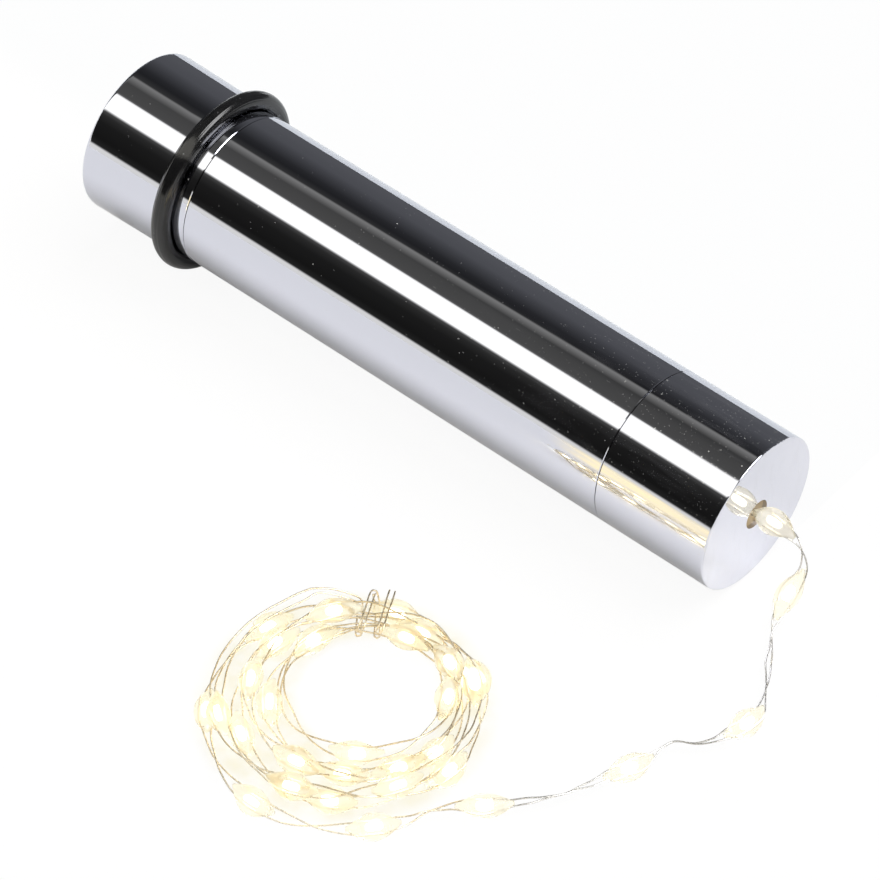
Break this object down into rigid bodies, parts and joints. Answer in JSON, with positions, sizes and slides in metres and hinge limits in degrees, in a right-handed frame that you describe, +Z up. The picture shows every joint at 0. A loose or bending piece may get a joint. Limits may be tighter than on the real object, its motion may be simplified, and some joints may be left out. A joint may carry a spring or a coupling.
{
  "type": "bottle light",
  "caption": "Chrome bottle-neck light: a battery tube with a stop ring, a push-button cap and a tied coil of fairy lights on thin twisted wire.",
  "frame": {"origin": "on the surface that the light lies on, under the middle of the light without its string", "axes": "+X along the light from its cap to its string end, +Z up; the light lies on its rubber ring and on the edge of its string end, so its axis dips 1.4 degrees towards +X"},
  "size_m": [0.0991, 0.0685, 0.0216],
  "materials": {
    "chrome": "mirror",
    "rubber": "satin",
    "button_plastic": "fine moulded",
    "switch_plastic": "moulded",
    "board": "solder mask",
    "spring_steel": "bright nickel",
    "contact_brass": "bright",
    "liner_plastic": "thin sleeve",
    "cell_jacket": "shrink film",
    "cell_steel": "nickel plated",
    "ferrite": "sintered",
    "copper_wire": "enamelled",
    "black_package": "moulded",
    "ceramic": "fired",
    "solder": "bright",
    "glue": "amber hot melt",
    "string_wire": "bright silvered copper",
    "resin": "clear",
    "light_chip": "lit"
  },
  "bodies": {
    "light": {"battery_tube": "chrome", "end_cap": "chrome", "return_strip": "contact_brass", "cell_liner": "liner_plastic", "aa_cell": "cell_jacket", "cell_terminal": "cell_steel", "positive_contact": "contact_brass", "driver_board": "board", "inductor_core": "ferrite", "inductor_winding": "copper_wire", "driver_chip": "black_package", "rectifier_diode": "black_package", "chip_capacitors": "ceramic", "chip_resistors": "black_package", "string_tail": "string_wire", "solder_joint": "solder", "wire_glue": "glue", "string_lead": "string_wire", "lead_drops": "resin", "lead_chips": "light_chip", "string_coil": "string_wire", "coil_drops": "resin", "coil_chips": "light_chip", "coil_tie": "string_wire"},
    "cap": {"top_cap": "chrome", "o_ring": "rubber", "switch_body": "switch_plastic", "switch_board": "board", "spring_plate": "spring_steel", "cell_spring": "spring_steel", "contact_ring": "contact_brass"},
    "button": {"switch_button": "button_plastic", "switch_plunger": "switch_plastic"}
  },
  "joints": [
    {"name": "cap_pull", "type": "slide", "parent": "light", "child": "cap", "axis": [-0.9997, 0, 0.0246], "range_m": [0, 0.03]},
    {"name": "button_press", "type": "slide", "parent": "cap", "child": "button", "axis": [0.9997, 0, -0.0246], "range_m": [0, 0.0009], "stiffness_N_per_m": 800, "springref_m": -0.001}
  ]
}
